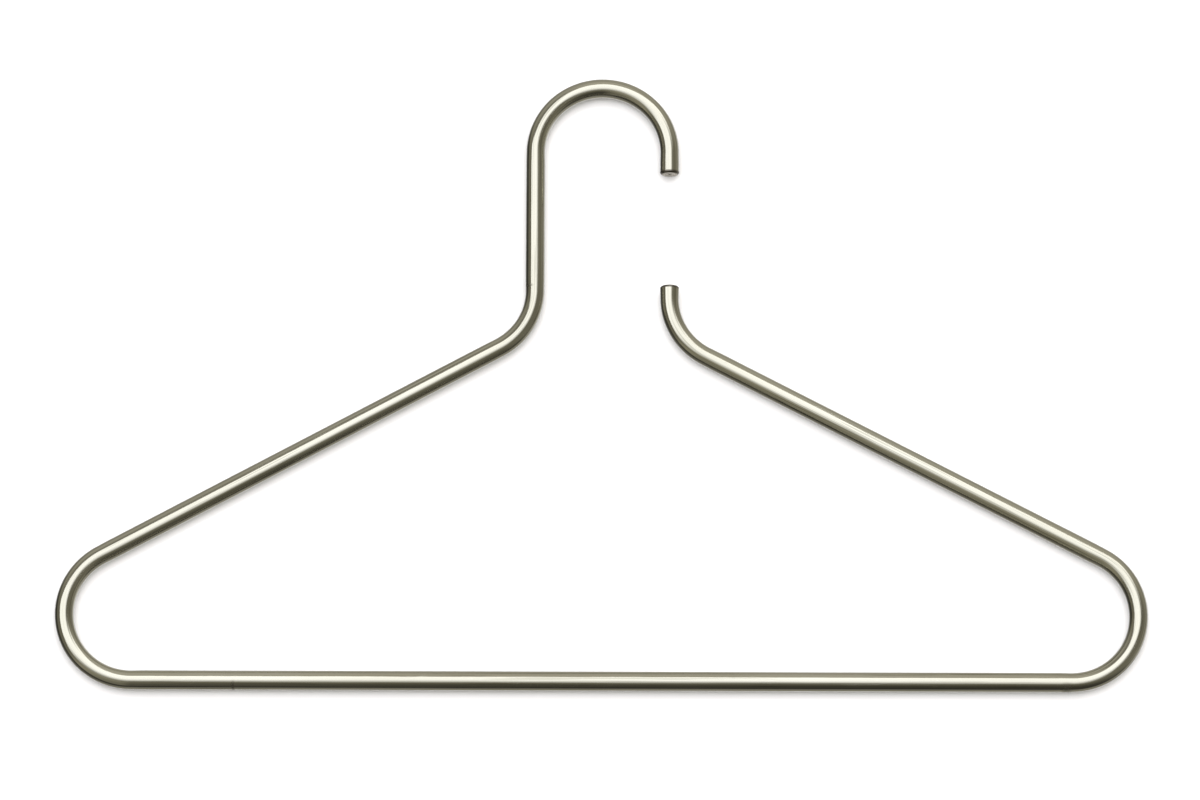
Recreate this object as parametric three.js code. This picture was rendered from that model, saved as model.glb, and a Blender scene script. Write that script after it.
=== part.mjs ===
// Clothes hanger: one round stainless tube bent in a flat plane, with a plug pressed into each open end.
// Millimetres, +Z up. The hanger lies in the XZ plane with its mouth towards +X.
// The origin is the top of the hook's inner curve, where the rail carries it.
import * as THREE from 'three';

// Driving dimensions
const TUBE_DIAMETER = 8;
const TUBE_WALL = 1;
const BEND_RADIUS = 28; // one forming roll makes every bend, measured to the tube's centreline
const OVERALL_WIDTH = 450;
const HOOK_CENTRE_TO_BAR = 226; // from the centre of the hook's curve down to the bar's centreline
const LEFT_ARM_SLOPE = THREE.MathUtils.degToRad(28.5); // below horizontal, on the neck's side
const RIGHT_ARM_SLOPE = THREE.MathUtils.degToRad(27.6); // below horizontal, on the tip's side
const HOOK_END_STRAIGHT = 9.4; // straight length between the hook's curve and its end face
const TIP_STRAIGHT = 5.2; // straight length between the tip's bend and its end face

const PLUG_HEAD_DEPTH = 1;
const PLUG_CHAMFER = 0.6;
const PLUG_SPIGOT_RADIUS = 2.8;
const PLUG_LENGTH = 5.2;
const PLUG_LEAD_IN = 0.4;
const PLUG_SEAT_GAP = 0.05; // between the plug's head and the end of the tube

// Facets
const OUTER_SIDES = 20;
const BORE_SIDES = 12;
const TURN_PER_STEP = THREE.MathUtils.degToRad(7.6);

// Worked out from the driving dimensions
const TUBE_RADIUS = TUBE_DIAMETER / 2;
const BORE_RADIUS = TUBE_RADIUS - TUBE_WALL;
const HOOK_CENTRE_Z = -(BEND_RADIUS - TUBE_RADIUS);
const BAR_Z = HOOK_CENTRE_Z - HOOK_CENTRE_TO_BAR;
const HOOK_END_Z = HOOK_CENTRE_Z - HOOK_END_STRAIGHT;
const CORNER_CENTRE_X = OVERALL_WIDTH / 2 - TUBE_RADIUS - BEND_RADIUS;
const QUARTER_TURN = Math.PI / 2;

/** Length of straight that a bend between two lines takes up, from their crossing to its tangent point. */
function bendSetback(turn) {
  return BEND_RADIUS * Math.tan(turn / 2);
}

/** Distance from the hook's centre line to where an arm's line crosses the bar's line. */
function barCrossingX(slope) {
  return CORNER_CENTRE_X + BEND_RADIUS / Math.tan(slope / 2);
}

/** Length of an arm between its two bends; its line meets the upright above it at BEND_RADIUS from x = 0. */
function armLength(slope) {
  const wholeLine = (barCrossingX(slope) - BEND_RADIUS) / Math.cos(slope);
  return wholeLine - bendSetback(QUARTER_TURN - slope) - bendSetback(Math.PI - slope);
}

/** Height of the upper tangent point of an arm's upper bend. */
function upperBendTopZ(slope) {
  const uprightCrossingZ = BAR_Z + (barCrossingX(slope) - BEND_RADIUS) * Math.tan(slope);
  return uprightCrossingZ + bendSetback(QUARTER_TURN - slope);
}

const NECK_BOTTOM_Z = upperBendTopZ(LEFT_ARM_SLOPE);
const TIP_END_Z = upperBendTopZ(RIGHT_ARM_SLOPE) + TIP_STRAIGHT;

/**
 * The tube's centreline from the hook's end face to the tip's end face: straights and bends in the XZ plane.
 * Its parameter counts stations, so a straight is one step and a bend is as many as its turn needs.
 */
class BentTubePath extends THREE.Curve {
  constructor(startX, startZ, heading) {
    super();
    this.stations = [{ x: startX, z: startZ, heading }];
  }

  last() {
    return this.stations[this.stations.length - 1];
  }

  straight(length) {
    const { x, z, heading } = this.last();
    this.stations.push({
      x: x + length * Math.cos(heading),
      z: z + length * Math.sin(heading),
      heading,
    });
    return this;
  }

  /** A positive turn is to the left of the heading. */
  bend(turn) {
    const { x, z, heading } = this.last();
    const side = Math.sign(turn);
    const centreX = x - side * BEND_RADIUS * Math.sin(heading);
    const centreZ = z + side * BEND_RADIUS * Math.cos(heading);
    const steps = Math.ceil(Math.abs(turn) / TURN_PER_STEP);
    for (let step = 1; step <= steps; step += 1) {
      const next = heading + (turn * step) / steps;
      this.stations.push({
        x: centreX + side * BEND_RADIUS * Math.sin(next),
        z: centreZ - side * BEND_RADIUS * Math.cos(next),
        heading: next,
      });
    }
    return this;
  }

  steps() {
    return this.stations.length - 1;
  }

  getPoint(t, target = new THREE.Vector3()) {
    const { x, z } = this.stations[Math.round(t * this.steps())];
    return target.set(x, 0, z);
  }

  getTangent(t, target = new THREE.Vector3()) {
    const { heading } = this.stations[Math.round(t * this.steps())];
    return target.set(Math.cos(heading), 0, Math.sin(heading));
  }

  getPointAt(u, target) {
    return this.getPoint(u, target);
  }

  getTangentAt(u, target) {
    return this.getTangent(u, target);
  }
}

/** The tube's path, which stops short of each end face by the plug's head. */
function tubePath() {
  const headRoom = PLUG_HEAD_DEPTH + PLUG_SEAT_GAP;
  return new BentTubePath(BEND_RADIUS, HOOK_END_Z + headRoom, QUARTER_TURN)
    .straight(HOOK_END_STRAIGHT - headRoom)
    .bend(2 * QUARTER_TURN)
    .straight(HOOK_CENTRE_Z - NECK_BOTTOM_Z)
    .bend(LEFT_ARM_SLOPE - QUARTER_TURN)
    .straight(armLength(LEFT_ARM_SLOPE))
    .bend(QUARTER_TURN - LEFT_ARM_SLOPE)
    .bend(QUARTER_TURN)
    .straight(2 * CORNER_CENTRE_X)
    .bend(QUARTER_TURN)
    .bend(QUARTER_TURN - RIGHT_ARM_SLOPE)
    .straight(armLength(RIGHT_ARM_SLOPE))
    .bend(RIGHT_ARM_SLOPE - QUARTER_TURN)
    .straight(TIP_STRAIGHT - headRoom);
}

function circlePoints(radius, sides) {
  const points = [];
  for (let side = 0; side < sides; side += 1) {
    const angle = (2 * Math.PI * side) / sides;
    points.push(new THREE.Vector2(radius * Math.cos(angle), radius * Math.sin(angle)));
  }
  return points;
}

function satinSteel(color, roughness) {
  return new THREE.MeshStandardMaterial({ color, roughness, metalness: 1 });
}

/** The whole bent tube, open at both ends. */
function bentTube() {
  const section = new THREE.Shape(circlePoints(TUBE_RADIUS, OUTER_SIDES));
  section.holes.push(new THREE.Path(circlePoints(BORE_RADIUS, BORE_SIDES)));
  const path = tubePath();
  const geometry = new THREE.ExtrudeGeometry(section, { extrudePath: path, steps: path.steps() });
  const mesh = new THREE.Mesh(geometry, satinSteel(0xa5a294, 0.3));
  mesh.name = 'bent_tube';
  return mesh;
}

/** A turned plug on the Z axis: chamfered head with its face down at z = 0, spigot standing up from it. */
function endPlug(name) {
  const spigotEnd = PLUG_SPIGOT_RADIUS - PLUG_LEAD_IN;
  const profile = [
    new THREE.Vector2(0, 0),
    new THREE.Vector2(TUBE_RADIUS - PLUG_CHAMFER, 0),
    new THREE.Vector2(TUBE_RADIUS, PLUG_CHAMFER),
    new THREE.Vector2(TUBE_RADIUS, PLUG_HEAD_DEPTH),
    new THREE.Vector2(PLUG_SPIGOT_RADIUS, PLUG_HEAD_DEPTH),
    new THREE.Vector2(PLUG_SPIGOT_RADIUS, PLUG_LENGTH - PLUG_LEAD_IN),
    new THREE.Vector2(spigotEnd, PLUG_LENGTH),
    new THREE.Vector2(0, PLUG_LENGTH),
  ];
  const geometry = new THREE.LatheGeometry(profile, OUTER_SIDES).rotateX(QUARTER_TURN);
  const mesh = new THREE.Mesh(geometry, satinSteel(0xb4b1a6, 0.35));
  mesh.name = name;
  return mesh;
}

const hanger = new THREE.Group();

const hookEndPlug = endPlug('hook_end_plug');
hookEndPlug.position.set(BEND_RADIUS, 0, HOOK_END_Z);

const tipEndPlug = endPlug('tip_end_plug');
tipEndPlug.position.set(BEND_RADIUS, 0, TIP_END_Z);
tipEndPlug.rotation.x = Math.PI;

hanger.add(bentTube(), hookEndPlug, tipEndPlug);

export default hanger;
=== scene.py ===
"""Clothes hanger of bent stainless tube with a turned plug in each end, hanging against a white sheet."""

import math

import bmesh
import bpy
from mathutils import Euler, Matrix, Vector


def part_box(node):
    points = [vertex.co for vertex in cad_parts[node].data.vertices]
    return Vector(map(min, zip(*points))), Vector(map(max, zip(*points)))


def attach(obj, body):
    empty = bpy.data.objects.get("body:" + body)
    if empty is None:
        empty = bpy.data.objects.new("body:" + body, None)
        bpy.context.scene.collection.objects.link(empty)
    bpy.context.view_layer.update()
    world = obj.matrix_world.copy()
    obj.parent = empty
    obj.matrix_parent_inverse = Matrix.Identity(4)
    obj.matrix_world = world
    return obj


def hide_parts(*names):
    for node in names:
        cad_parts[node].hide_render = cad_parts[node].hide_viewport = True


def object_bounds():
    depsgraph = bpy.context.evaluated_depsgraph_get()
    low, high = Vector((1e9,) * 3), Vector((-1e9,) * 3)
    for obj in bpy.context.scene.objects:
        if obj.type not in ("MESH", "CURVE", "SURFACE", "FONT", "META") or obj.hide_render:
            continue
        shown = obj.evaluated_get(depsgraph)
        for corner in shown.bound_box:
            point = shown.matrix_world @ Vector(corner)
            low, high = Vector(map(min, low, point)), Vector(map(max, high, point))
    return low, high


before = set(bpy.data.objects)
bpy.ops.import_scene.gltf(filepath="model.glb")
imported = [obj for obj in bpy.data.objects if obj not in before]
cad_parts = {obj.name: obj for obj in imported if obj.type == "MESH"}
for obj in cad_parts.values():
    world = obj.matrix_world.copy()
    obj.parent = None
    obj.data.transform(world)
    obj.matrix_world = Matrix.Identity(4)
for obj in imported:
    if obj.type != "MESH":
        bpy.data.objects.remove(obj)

cad_low, cad_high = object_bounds()
tube_low, tube_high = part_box("bent_tube")
hook_plug_low, hook_plug_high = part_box("hook_end_plug")
tip_plug_low, tip_plug_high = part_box("tip_end_plug")

# ---------------------------------------------------------------- dimensions, in metres
MM = 0.001
TUBE_RADIUS = (tube_high.y - tube_low.y) / 2
TUBE_WALL = 1.0 * MM
BORE_RADIUS = TUBE_RADIUS - TUBE_WALL
BEND_RADIUS = 28 * MM
LEFT_SLOPE = math.radians(28.5)
RIGHT_SLOPE = math.radians(27.6)
QUARTER_TURN = math.pi / 2

HOOK_CENTRE_Z = cad_high.z - TUBE_RADIUS - BEND_RADIUS
BAR_Z = cad_low.z + TUBE_RADIUS
CORNER_CENTRE_X = cad_high.x - TUBE_RADIUS - BEND_RADIUS

PLUG_HEAD = 1.0 * MM
SEAM = 0.02 * MM  # what is left open between the plug's head and the tube's end
EDGE_BREAK = 0.06 * MM  # the tiny bevel on each edge beside that seam
BEND_FLATTENING = 0.02  # how much thinner the tube gets across its bends, as a share
FLATTENING_RUN = 5 * MM  # the length of straight over which the flattening fades

SIDES = 56  # round the tube and round each plug
SHARP_ANGLE = math.radians(32)  # edges sharper than this aren't smoothed
BEND_STEP = math.radians(2.5)  # the turn between two stations of a bend
FIRST_STATION_STEP = 1.0 * MM  # stations crowd near the bends and spread along the straights
STATION_GROWTH = 1.35  # each step along a straight is this many times the last


# ---------------------------------------------------------------- the tube's centreline
def setback(turn):
    """Length of straight that a bend takes up, from the crossing of its two lines to its tangent point."""
    return BEND_RADIUS * math.tan(turn / 2)


def arm(slope):
    """(length of the arm between its bends, height where its upper bend begins)."""
    crossing_x = CORNER_CENTRE_X + BEND_RADIUS / math.tan(slope / 2)
    run = crossing_x - BEND_RADIUS
    length = run / math.cos(slope) - setback(QUARTER_TURN - slope) - setback(math.pi - slope)
    return length, BAR_Z + run * math.tan(slope) + setback(QUARTER_TURN - slope)


def straight_spacing(length):
    """Distances along a straight, crowded at both ends."""
    half, step, at = [], FIRST_STATION_STEP, FIRST_STATION_STEP
    while at < length / 2:
        half.append(at)
        step *= STATION_GROWTH
        at += step
    return half + [length - d for d in reversed(half)] + [length]


class Centreline:
    """Stations (x, z, heading, distance along) on the tube's path in the XZ plane, and its bends."""

    def __init__(self, x, z, heading):
        self.x, self.z, self.heading, self.run = x, z, heading, 0.0
        self.stations = []
        self.bends = []
        self._add(x, z, heading, 0.0)

    def _add(self, x, z, heading, run):
        self.stations.append((x, z, heading, run))

    def straight(self, length):
        for d in straight_spacing(length):
            x = self.x + d * math.cos(self.heading)
            z = self.z + d * math.sin(self.heading)
            self._add(x, z, self.heading, self.run + d)
        self.x, self.z = x, z
        self.run += length
        return self

    def bend(self, turn):
        side = math.copysign(1, turn)
        cx = self.x - side * BEND_RADIUS * math.sin(self.heading)
        cz = self.z + side * BEND_RADIUS * math.cos(self.heading)
        steps = math.ceil(abs(turn) / BEND_STEP)
        for i in range(1, steps + 1):
            h = self.heading + turn * i / steps
            x = cx + side * BEND_RADIUS * math.sin(h)
            z = cz - side * BEND_RADIUS * math.cos(h)
            self._add(x, z, h, self.run + BEND_RADIUS * abs(turn) * i / steps)
        length = BEND_RADIUS * abs(turn)
        self.bends.append((self.run, self.run + length))
        self.x, self.z, self.heading = x, z, h
        self.run += length
        return self

    def bent(self, run):
        """1 inside a bend, fading to 0 along the straights beside it."""
        gap = min(max(start - run, run - end, 0) for start, end in self.bends)
        t = max(0.0, 1 - gap / FLATTENING_RUN)
        return t * t * (3 - 2 * t)


left_arm, neck_bottom_z = arm(LEFT_SLOPE)
right_arm, tip_bend_z = arm(RIGHT_SLOPE)
tube_start_z = hook_plug_low.z + PLUG_HEAD + SEAM
tube_end_z = tip_plug_high.z - PLUG_HEAD - SEAM

path = (
    Centreline(BEND_RADIUS, tube_start_z, QUARTER_TURN)
    .straight(HOOK_CENTRE_Z - tube_start_z)
    .bend(2 * QUARTER_TURN)
    .straight(HOOK_CENTRE_Z - neck_bottom_z)
    .bend(LEFT_SLOPE - QUARTER_TURN)
    .straight(left_arm)
    .bend(QUARTER_TURN - LEFT_SLOPE)
    .bend(QUARTER_TURN)
    .straight(2 * CORNER_CENTRE_X)
    .bend(QUARTER_TURN)
    .bend(QUARTER_TURN - RIGHT_SLOPE)
    .straight(right_arm)
    .bend(RIGHT_SLOPE - QUARTER_TURN)
    .straight(tube_end_z - tip_bend_z)
)


# ---------------------------------------------------------------- meshes
def new_piece(name, bm, layout, material):
    """A smooth mesh object that rides on the hanger. layout is the name of its pattern attribute and its
    values, one for each vertex."""
    mesh = bpy.data.meshes.new(name)
    bmesh.ops.recalc_face_normals(bm, faces=bm.faces)
    for face in bm.faces:
        face.smooth = True
    bm.to_mesh(mesh)
    bm.free()
    attribute = mesh.attributes.new(layout[0], "FLOAT_VECTOR", "POINT")
    attribute.data.foreach_set("vector", [c for v in layout[1] for c in v])
    mesh.set_sharp_from_angle(angle=SHARP_ANGLE)
    mesh.materials.append(material)
    piece = bpy.data.objects.new(name, mesh)
    bpy.context.scene.collection.objects.link(piece)
    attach(piece, "root")
    return piece


def bridge(bm, rings):
    """Quads between each ring of vertices and the next."""
    for ring, following in zip(rings, rings[1:]):
        count = len(ring)
        for i in range(count):
            j = (i + 1) % count
            bm.faces.new((ring[i], ring[j], following[j], following[i]))


def tube_section(bm, station, radius, shift, layout):
    """One ring of the tube at a station, moved along the path by shift."""
    x, z, heading, run = station
    ahead = Vector((math.cos(heading), 0, math.sin(heading)))
    across = Vector((-math.sin(heading), 0, math.cos(heading)))
    centre = Vector((x, 0, z)) + ahead * shift
    flat = 1 - BEND_FLATTENING * path.bent(run)
    ring = []
    for i in range(SIDES):
        angle = 2 * math.pi * i / SIDES
        offset = across * (radius * flat * math.cos(angle)) + Vector((0, radius * math.sin(angle), 0))
        ring.append(bm.verts.new(centre + offset))
        layout.append((run, radius * math.cos(angle), radius * math.sin(angle)))
    return ring


def build_tube(material):
    bm = bmesh.new()
    layout = []
    first, last = path.stations[0], path.stations[-1]
    outer = [tube_section(bm, first, TUBE_RADIUS - EDGE_BREAK, 0, layout)]
    outer.append(tube_section(bm, first, TUBE_RADIUS, EDGE_BREAK, layout))
    outer += [tube_section(bm, s, TUBE_RADIUS, 0, layout) for s in path.stations[1:-1]]
    outer.append(tube_section(bm, last, TUBE_RADIUS, -EDGE_BREAK, layout))
    outer.append(tube_section(bm, last, TUBE_RADIUS - EDGE_BREAK, 0, layout))
    bore = [tube_section(bm, s, BORE_RADIUS, 0, layout) for s in reversed(path.stations)]
    rings = outer + bore
    bridge(bm, rings + rings[:1])
    return new_piece("tube", bm, ("straightened", layout), material)


def plug_profile():
    """(radius, depth from the outer face), starting on the axis: a faced end with a centre mark and a shallow
    ring, a chamfer, a head and a spigot."""
    head_radius = TUBE_RADIUS
    chamfer = 0.6 * MM
    soft = 0.07 * MM  # how far the chamfer's two edges are rounded
    near, far = soft * 0.3, soft * 0.45  # where the middle of that rounding lies
    spigot, lead_in = 2.8 * MM, 0.4 * MM
    length = hook_plug_high.z - hook_plug_low.z
    centre_mark, mark_depth, mark_lip = 0.8 * MM, 0.2 * MM, 0.02 * MM
    mark_floor, mark_rim = centre_mark * 0.35, centre_mark * 1.15
    face_ring, ring_depth, ring_half = 1.8 * MM, 0.04 * MM, 0.12 * MM
    return [
        (0, mark_depth),
        (mark_floor, mark_depth),
        (centre_mark, mark_lip),
        (mark_rim, 0),
        (face_ring - ring_half, 0),
        (face_ring, ring_depth),
        (face_ring + ring_half, 0),
        (head_radius - chamfer - soft, 0),
        (head_radius - chamfer + near, far),
        (head_radius - far, chamfer - near),
        (head_radius, chamfer + soft),
        (head_radius, PLUG_HEAD - EDGE_BREAK),
        (head_radius - EDGE_BREAK, PLUG_HEAD),
        (spigot, PLUG_HEAD),
        (spigot, length - lead_in),
        (spigot - lead_in, length),
    ]


def build_plug(name, face, inward, material):
    """A plug turned about the vertical line through face, with its spigot pointing up (1) or down (-1)."""
    bm = bmesh.new()
    layout = []
    profile = plug_profile()
    tip = bm.verts.new(face + Vector((0, 0, inward * profile[0][1])))
    layout.append((0, 0, profile[0][1]))
    rings = []
    for radius, depth in profile[1:]:
        ring = []
        for i in range(SIDES):
            angle = 2 * math.pi * i / SIDES
            side = Vector((radius * math.cos(angle), radius * math.sin(angle), inward * depth))
            ring.append(bm.verts.new(face + side))
            layout.append((radius, angle, depth))
        rings.append(ring)
    bridge(bm, rings)
    for i in range(SIDES):
        bm.faces.new((tip, rings[0][i], rings[0][(i + 1) % SIDES]))
    bm.faces.new(rings[-1])
    return new_piece(name, bm, ("turned", layout), material)


# ---------------------------------------------------------------- colours of the steel
PALE_STEEL = (0.66, 0.635, 0.5, 1)
DULL_STEEL = (0.60, 0.575, 0.44, 1)
DRAWN_LINE = (0.36, 0.34, 0.25, 1)
SCRATCH = (0.8, 0.78, 0.7, 1)
RUB_MARK = (0.2, 0.18, 0.13, 1)
PALE_FACE = (0.66, 0.60, 0.50, 1)
DULL_FACE = (0.52, 0.47, 0.38, 1)
TURNED_RING = (0.3, 0.28, 0.23, 1)
# painted shade for the rim of a plug's face, and the darker colour of its centre mark
RIM_SHADE_AND_DARK_CENTRE = (0.12, 0.11, 0.08, 1)

# How close the patterns are, per metre: (along the tube, then twice across it).
DRAWING = (45, 2600, 2600)
DIE_LINES = (16, 1100, 1100)
POLISH = (38, 240, 240)
CLOUDS = (9, 60, 60)
LONG_SCRATCHES = (14, 420, 420)
CROSS_SCRATCHES = (330, 110, 110)
# The same on a plug: (per metre of radius, per radian round it, per metre of depth).
TURNED_RINGS = (4200, 0.4, 6000)
STAIN = (900, 1.3, 900)


# ---------------------------------------------------------------- shader building
class Nodes:
    """Short calls for the nodes of one node tree."""

    def __init__(self, tree):
        self.tree = tree
        tree.nodes.clear()

    def add(self, kind, **settings):
        node = self.tree.nodes.new(kind)
        for name, value in settings.items():
            setattr(node, name, value)
        return node

    def put(self, socket, value):
        if isinstance(value, bpy.types.NodeSocket):
            self.tree.links.new(value, socket)
        else:
            socket.default_value = value

    def math(self, operation, first, second=0.0):
        node = self.add("ShaderNodeMath", operation=operation)
        self.put(node.inputs[0], first)
        self.put(node.inputs[1], second)
        return node.outputs[0]

    def product(self, *values):
        result = values[0]
        for value in values[1:]:
            result = self.math("MULTIPLY", result, value)
        return result

    def total(self, *values):
        result = values[0]
        for value in values[1:]:
            result = self.math("ADD", result, value)
        return result

    def ramp(self, value, low, high, start=0.0, end=1.0):
        """Smoothly from start to end as value goes from low to high."""
        node = self.add("ShaderNodeMapRange", interpolation_type="SMOOTHSTEP")
        for socket, setting in zip(node.inputs[:5], (value, low, high, start, end)):
            self.put(socket, setting)
        return node.outputs[0]

    def scaled(self, vector, scale):
        node = self.add("ShaderNodeVectorMath", operation="MULTIPLY")
        self.put(node.inputs[0], vector)
        self.put(node.inputs[1], scale)
        return node.outputs[0]

    def noise(self, vector, detail=3.0, roughness=0.55):
        node = self.add("ShaderNodeTexNoise")
        self.put(node.inputs["Vector"], vector)
        node.inputs["Scale"].default_value = 1.0
        node.inputs["Detail"].default_value = detail
        node.inputs["Roughness"].default_value = roughness
        return node.outputs["Fac"]

    def colour(self, factor, first, second):
        # A colour mix has its colours in inputs 6 and 7, and gives the mix in output 2.
        node = self.add("ShaderNodeMix", data_type="RGBA")
        self.put(node.inputs[0], factor)
        self.put(node.inputs[6], first)
        self.put(node.inputs[7], second)
        return node.outputs[2]

    def bump(self, height, distance, normal=None):
        node = self.add("ShaderNodeBump")
        node.inputs["Strength"].default_value = 1.0
        node.inputs["Distance"].default_value = distance
        self.put(node.inputs["Height"], height)
        if normal is not None:
            self.put(node.inputs["Normal"], normal)
        return node.outputs["Normal"]

    def hairlines(self, vector, width):
        """1 on the thin contour lines of a stretched noise, 0 elsewhere."""
        distance = self.math("ABSOLUTE", self.math("SUBTRACT", self.noise(vector, 2.0), 0.5))
        return self.ramp(distance, 0.0, width, 1.0, 0.0)


def metal(name):
    """(material, its node builder, its metal shader)."""
    material = bpy.data.materials.new(name)
    material.use_nodes = True
    nodes = Nodes(material.node_tree)
    shader = nodes.add("ShaderNodeBsdfPrincipled")
    shader.inputs["Metallic"].default_value = 1.0
    output = nodes.add("ShaderNodeOutputMaterial")
    nodes.put(output.inputs["Surface"], shader.outputs[0])
    return material, nodes, shader


def gap_mask(nodes, value, centre, half_width, peak=1.0):
    """peak at centre, fading to 0 at half_width on both sides."""
    distance = nodes.math("ABSOLUTE", nodes.math("SUBTRACT", value, centre))
    return nodes.ramp(distance, 0.0, half_width, peak, 0.0)


def satin_tube():
    """Satin stainless tube: drawing lines along it, uneven polish, a few hairline scratches, rub marks of the
    bending tool where it gripped. The pattern follows the tube as if it were still straight."""
    material, nodes, shader = metal("satin stainless tube")
    straightened = nodes.add("ShaderNodeAttribute", attribute_name="straightened").outputs["Vector"]
    along = nodes.add("ShaderNodeSeparateXYZ")
    nodes.put(along.inputs[0], straightened)

    drawing = nodes.noise(nodes.scaled(straightened, DRAWING), detail=4.0, roughness=0.65)
    die_lines = nodes.noise(nodes.scaled(straightened, DIE_LINES), detail=2.0)
    polish = nodes.noise(nodes.scaled(straightened, POLISH), detail=3.0)
    clouds = nodes.noise(nodes.scaled(straightened, CLOUDS), detail=2.0)
    long_scratches = nodes.hairlines(nodes.scaled(straightened, LONG_SCRATCHES), 0.006)
    cross_scratches = nodes.hairlines(nodes.scaled(straightened, CROSS_SCRATCHES), 0.004)
    worn = nodes.ramp(clouds, 0.52, 0.7)
    scratches = nodes.total(
        nodes.product(long_scratches, nodes.ramp(polish, 0.4, 0.65)),
        nodes.product(cross_scratches, worn, 0.7),
    )

    neck_end, bar_start, bar_end = path.bends[1][0], path.bends[3][1], path.bends[4][0]
    grips = (  # (distance along the tube, half width of the mark)
        (neck_end - 1.5 * MM, 0.9 * MM),
        (bar_start + 42 * MM, 1.1 * MM),
        (bar_end - 2 * MM, 3.2 * MM),
    )
    marks = nodes.total(*[gap_mask(nodes, along.outputs[0], at, reach) for at, reach in grips])
    below = nodes.ramp(along.outputs[1], -0.2 * MM, -2.4 * MM)
    marks = nodes.product(marks, below, nodes.ramp(drawing, 0.35, 0.6, 0.45, 1.0))

    steel = nodes.colour(nodes.ramp(clouds, 0.3, 0.7), PALE_STEEL, DULL_STEEL)
    steel = nodes.colour(nodes.ramp(die_lines, 0.44, 0.34, 0.0, 0.5), steel, DRAWN_LINE)
    steel = nodes.colour(nodes.product(scratches, 0.25), steel, SCRATCH)
    steel = nodes.colour(nodes.product(marks, 0.75), steel, RUB_MARK)
    nodes.put(shader.inputs["Base Color"], steel)

    smoothest = 0.07
    roughness = nodes.total(
        smoothest,
        nodes.ramp(polish, 0.3, 0.7, 0.0, 0.05),
        nodes.ramp(drawing, 0.3, 0.7, 0.0, 0.05),
        nodes.product(scratches, 0.08),
        nodes.product(marks, 0.25),
    )
    nodes.put(shader.inputs["Roughness"], roughness)

    drawing_depth, line_depth, polish_depth, scratch_depth = 0.006 * MM, 0.022 * MM, 0.02 * MM, 0.008 * MM
    fine = nodes.bump(drawing, drawing_depth)
    lined = nodes.bump(die_lines, line_depth, fine)
    uneven = nodes.bump(polish, polish_depth, lined)
    scratched = nodes.bump(nodes.total(scratches, marks), -scratch_depth, uneven)
    nodes.put(shader.inputs["Normal"], scratched)
    return material


def turned_plug():
    """Stainless faced on a lathe: rings about the plug's axis, a little uneven round each turn."""
    material, nodes, shader = metal("turned stainless plug")
    turned = nodes.add("ShaderNodeAttribute", attribute_name="turned").outputs["Vector"]
    parts = nodes.add("ShaderNodeSeparateXYZ")
    nodes.put(parts.inputs[0], turned)
    rings = nodes.noise(nodes.scaled(turned, TURNED_RINGS), detail=2.0)
    stain = nodes.noise(nodes.scaled(turned, STAIN), detail=3.0)
    steel = nodes.colour(nodes.ramp(stain, 0.3, 0.7), PALE_FACE, DULL_FACE)
    steel = nodes.colour(nodes.ramp(rings, 0.5, 0.3, 0.0, 0.6), steel, TURNED_RING)
    radius = parts.outputs[0]
    # Painted shade: the face darkens towards its rim, standing in for the reflection of the hanger's contact
    # shadow on the sheet. The centre mark is made darker too.
    painted_rim_shade = nodes.ramp(radius, 3.0 * MM, 3.3 * MM, 0.0, 0.65)
    centre = nodes.ramp(radius, 0.9 * MM, 0.6 * MM, 0.0, 0.6)
    steel = nodes.colour(nodes.math("MAXIMUM", painted_rim_shade, centre), steel, RIM_SHADE_AND_DARK_CENTRE)
    nodes.put(shader.inputs["Base Color"], steel)
    smoothest = 0.2
    roughness = nodes.total(smoothest, nodes.ramp(rings, 0.3, 0.7, 0.0, 0.14))
    nodes.put(shader.inputs["Roughness"], roughness)
    ring_depth = 0.012 * MM
    nodes.put(shader.inputs["Normal"], nodes.bump(rings, ring_depth))
    return material


# ---------------------------------------------------------------- the hanger
tube_material = satin_tube()
plug_material = turned_plug()

tube = build_tube(tube_material)
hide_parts("bent_tube")

hook_face = Vector((BEND_RADIUS, 0, hook_plug_low.z))
hook_plug = build_plug("plug_at_hook_end", hook_face, 1, plug_material)
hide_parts("hook_end_plug")

tip_face = Vector((BEND_RADIUS, 0, tip_plug_high.z))
tip_plug = build_plug("plug_at_tip", tip_face, -1, plug_material)
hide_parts("tip_end_plug")


# ---------------------------------------------------------------- studio
PAPER = (0.78, 0.765, 0.74, 1)
SHEET_HALF_SIDE = 2.0

PANEL_COLOUR = (0.835, 0.86, 1.0, 1)
FRONT_PANEL_STRENGTH = 1.66
BACK_PANEL_STRENGTH = 0.62
WARM_ROOM = (1.0, 0.96, 0.83, 1)
PALE_ROOM = (1.0, 0.98, 0.94, 1)

KEY_STRENGTH = 3.9
KEY_ANGLE = math.radians(110)
KEY_FROM = Vector((0.1, -1.0, 0.36))

SENSOR_WIDTH, LENS = 36.0, 204.0  # millimetres, as Blender has them
WIDTH_SEEN = 1.106  # as a share of the hanger's width
CAMERA_RISE = math.radians(-14.35)
CAMERA_ROLL = math.radians(0.17)
AIM_OFFSET = Vector((-0.85 * MM, 0, -7.85 * MM))  # from the middle of the hanger's box


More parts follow.
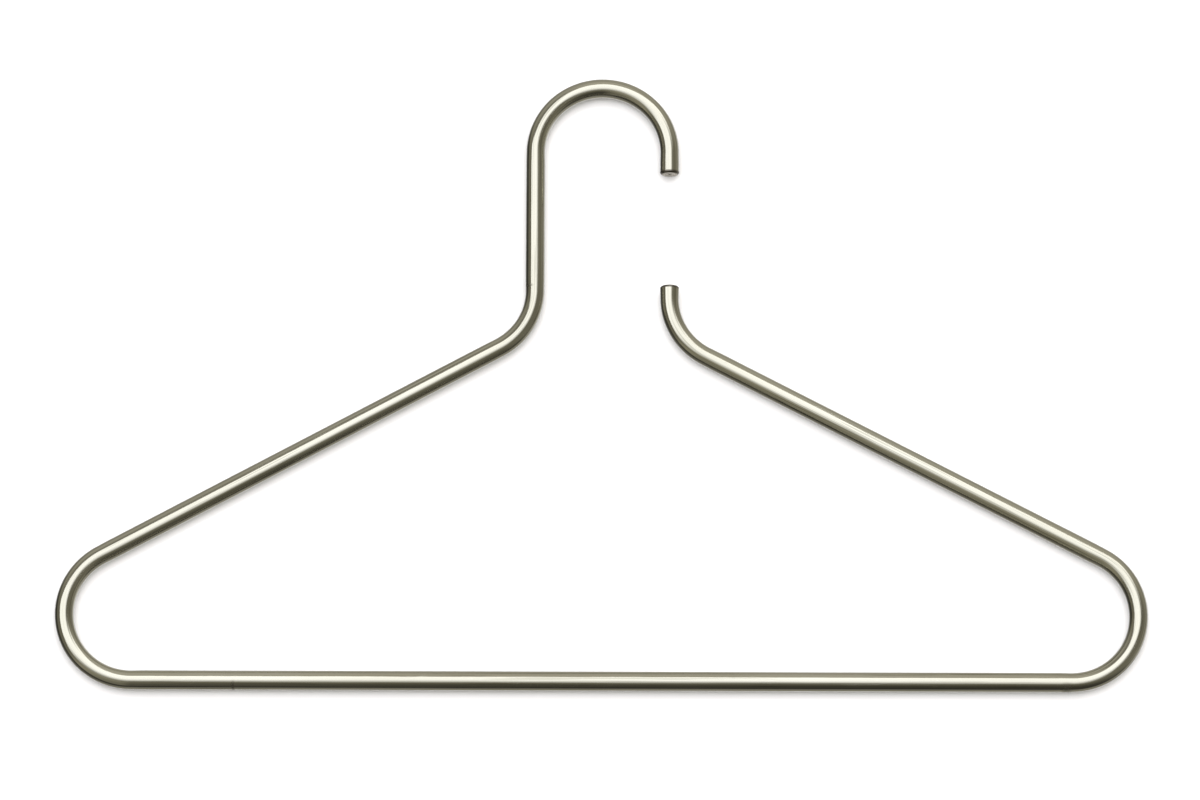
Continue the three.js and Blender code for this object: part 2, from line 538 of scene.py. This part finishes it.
def build_backdrop():
    """A white sheet that the hanger lies against. It shows from the front only, and stays out of the steel's
    reflections."""
    half = SHEET_HALF_SIDE
    bm = bmesh.new()
    corners = [(-half, -half), (half, -half), (half, half), (-half, half)]
    bm.faces.new([bm.verts.new((x, cad_high.y, z)) for x, z in corners])
    mesh = bpy.data.meshes.new("backdrop")
    bm.to_mesh(mesh)
    bm.free()
    backdrop = bpy.data.objects.new("backdrop", mesh)
    bpy.context.scene.collection.objects.link(backdrop)

    material = bpy.data.materials.new("white sheet")
    material.use_nodes = True
    nodes = Nodes(material.node_tree)
    paper = nodes.add("ShaderNodeBsdfDiffuse")
    paper.inputs["Color"].default_value = PAPER
    clear = nodes.add("ShaderNodeBsdfTransparent")
    facing = nodes.add("ShaderNodeNewGeometry")
    either = nodes.add("ShaderNodeMixShader")
    nodes.put(either.inputs[0], facing.outputs["Backfacing"])
    nodes.put(either.inputs[1], paper.outputs[0])
    nodes.put(either.inputs[2], clear.outputs[0])
    output = nodes.add("ShaderNodeOutputMaterial")
    nodes.put(output.inputs["Surface"], either.outputs[0])
    mesh.materials.append(material)

    backdrop.visible_glossy = False
    backdrop.visible_shadow = False
    backdrop.visible_diffuse = False


def build_studio_light():
    """A world that is white to the camera. To the steel and the sheet it is a studio: a large bright panel in
    front, a dimmer one behind, a pale ceiling and a dark warm room round them."""
    world = bpy.data.worlds.new("studio")
    bpy.context.scene.world = world
    world.use_nodes = True
    nodes = Nodes(world.node_tree)

    # right and up are where a direction meets an upright plane 1 m in front of the hanger, or 1 m behind it.
    # Each ramp below is the edge of a lit region, in those two or in the direction's own x, y and z. Where it
    # has four numbers, the last two are the light before and after the edge.
    direction = nodes.add("ShaderNodeTexCoord").outputs["Generated"]
    axes = nodes.add("ShaderNodeSeparateXYZ")
    nodes.put(axes.inputs[0], direction)
    x, y, z = axes.outputs
    seam = 0.02  # the width of the join between front and back
    depth = nodes.math("MAXIMUM", nodes.math("ABSOLUTE", y), seam)
    in_front = nodes.ramp(y, seam, -seam)
    behind = nodes.ramp(y, -seam, seam)
    right = nodes.math("DIVIDE", x, depth)
    up = nodes.math("DIVIDE", z, depth)

    # The front panel has a crisp upper edge that drops to the left, a crisp left edge, and soft lower and
    # right edges.
    drop = nodes.product(nodes.math("MAXIMUM", right, -0.5), -0.42)
    upper_edge = nodes.ramp(nodes.total(up, drop), 0.82, 0.76)
    crisp = nodes.product(upper_edge, nodes.ramp(right, -1.3, -1.24))
    soft = nodes.product(nodes.ramp(up, -0.77, 0.1), nodes.ramp(right, 0.62, 0.17))
    wide_end = nodes.product(nodes.ramp(up, 0.3, 0.75), nodes.ramp(right, 1.05, 0.6))
    join = nodes.math("SUBTRACT", 1.0, gap_mask(nodes, right, -0.3, 0.14, 0.1))  # a faint upright line
    front_panel = nodes.product(in_front, crisp, nodes.math("MAXIMUM", soft, wide_end), join)
    back_panel = nodes.product(
        behind,
        nodes.ramp(right, 1.35, 1.15),
        nodes.ramp(right, -1.0, -0.6),
        nodes.ramp(up, 1.1, 0.6),
        nodes.ramp(up, -0.5, 0.1),
    )
    ceiling = nodes.product(
        nodes.ramp(z, 0.2, 0.9, 0.0, 0.3),
        nodes.ramp(x, -0.7, 0.1, 0.75, 1.0),
        nodes.ramp(y, -0.65, -0.3, nodes.ramp(x, -0.35, -0.1, 0.3, 1.25), 1.0),
    )
    room = nodes.product(nodes.ramp(y, 0.2, -0.02), nodes.ramp(z, -0.98, -0.5, 0.05, 0.19))
    lower_left = nodes.product(in_front, nodes.ramp(z, -0.3, -0.6), nodes.ramp(x, 0.05, -0.25), 0.14)
    to_the_right = nodes.total(nodes.ramp(x, -0.9, 0.3, 0.08, 0.24), nodes.ramp(x, 0.5, 0.95, 0.0, 0.18))
    rear_room = nodes.product(nodes.ramp(y, 0.03, 0.62), to_the_right)
    right_side = nodes.product(nodes.ramp(x, 0.78, 0.95, 0.0, 0.13), nodes.ramp(y, -0.25, 0.0))
    face_glow = nodes.product(nodes.ramp(y, 0.85, 0.96), nodes.ramp(z, 0.0, -0.15), 0.3)
    rear_floor = nodes.product(nodes.ramp(y, 0.2, 0.7, 0.0, 0.08), nodes.ramp(z, 0.1, -0.4))

    outer = nodes.math("MAXIMUM", nodes.ramp(z, 0.2, 0.9), nodes.ramp(y, -0.2, 0.4))
    surroundings = nodes.colour(outer, WARM_ROOM, PALE_ROOM)
    dim_light = nodes.total(ceiling, room, lower_left, right_side, rear_room, rear_floor, face_glow)
    dim = nodes.add("ShaderNodeBackground")
    nodes.put(dim.inputs["Color"], surroundings)
    nodes.put(dim.inputs["Strength"], dim_light)
    bright = nodes.add("ShaderNodeBackground")
    bright.inputs["Color"].default_value = PANEL_COLOUR
    panel_light = nodes.total(
        nodes.product(front_panel, FRONT_PANEL_STRENGTH),
        nodes.product(back_panel, BACK_PANEL_STRENGTH),
    )
    nodes.put(bright.inputs["Strength"], panel_light)
    studio = nodes.add("ShaderNodeAddShader")
    nodes.put(studio.inputs[0], dim.outputs[0])
    nodes.put(studio.inputs[1], bright.outputs[0])

    white = nodes.add("ShaderNodeBackground")
    seen = nodes.add("ShaderNodeLightPath").outputs["Is Camera Ray"]
    white.inputs["Color"].default_value = (1, 1, 1, 1)
    either = nodes.add("ShaderNodeMixShader")
    nodes.put(either.inputs[0], seen)
    nodes.put(either.inputs[1], studio.outputs[0])
    nodes.put(either.inputs[2], white.outputs[0])
    output = nodes.add("ShaderNodeOutputWorld")
    nodes.put(output.inputs["Surface"], either.outputs[0])


def build_key_light():
    """A very wide soft light from the front. It only lights the sheet round the hanger's contact shadow: the
    steel's reflections miss it."""
    data = bpy.data.lights.new("key", "SUN")
    data.energy = KEY_STRENGTH
    data.angle = KEY_ANGLE
    key = bpy.data.objects.new("key", data)
    bpy.context.scene.collection.objects.link(key)
    key.rotation_euler = KEY_FROM.to_track_quat("Z", "Y").to_euler()
    key.visible_glossy = False


def build_camera():
    """A long lens square to the hanger from side to side, and a little below it, looking up."""
    data = bpy.data.cameras.new("camera")
    data.sensor_width = SENSOR_WIDTH
    data.lens = LENS
    width_seen = WIDTH_SEEN * (cad_high.x - cad_low.x)
    distance = width_seen * data.lens / data.sensor_width
    centre = (cad_low + cad_high) / 2
    target = centre + AIM_OFFSET
    camera = bpy.data.objects.new("camera", data)
    bpy.context.scene.collection.objects.link(camera)
    camera.location = target + distance * Vector((0, -math.cos(CAMERA_RISE), math.sin(CAMERA_RISE)))
    aim = Euler((QUARTER_TURN - CAMERA_RISE, 0, 0)).to_matrix()
    roll = Euler((0, 0, CAMERA_ROLL)).to_matrix()
    camera.rotation_euler = (aim @ roll).to_euler()
    data.clip_start, data.clip_end = 0.05, 20.0
    bpy.context.scene.camera = camera


build_backdrop()
build_studio_light()
build_key_light()
build_camera()
bpy.context.scene.view_settings.view_transform = "Standard"
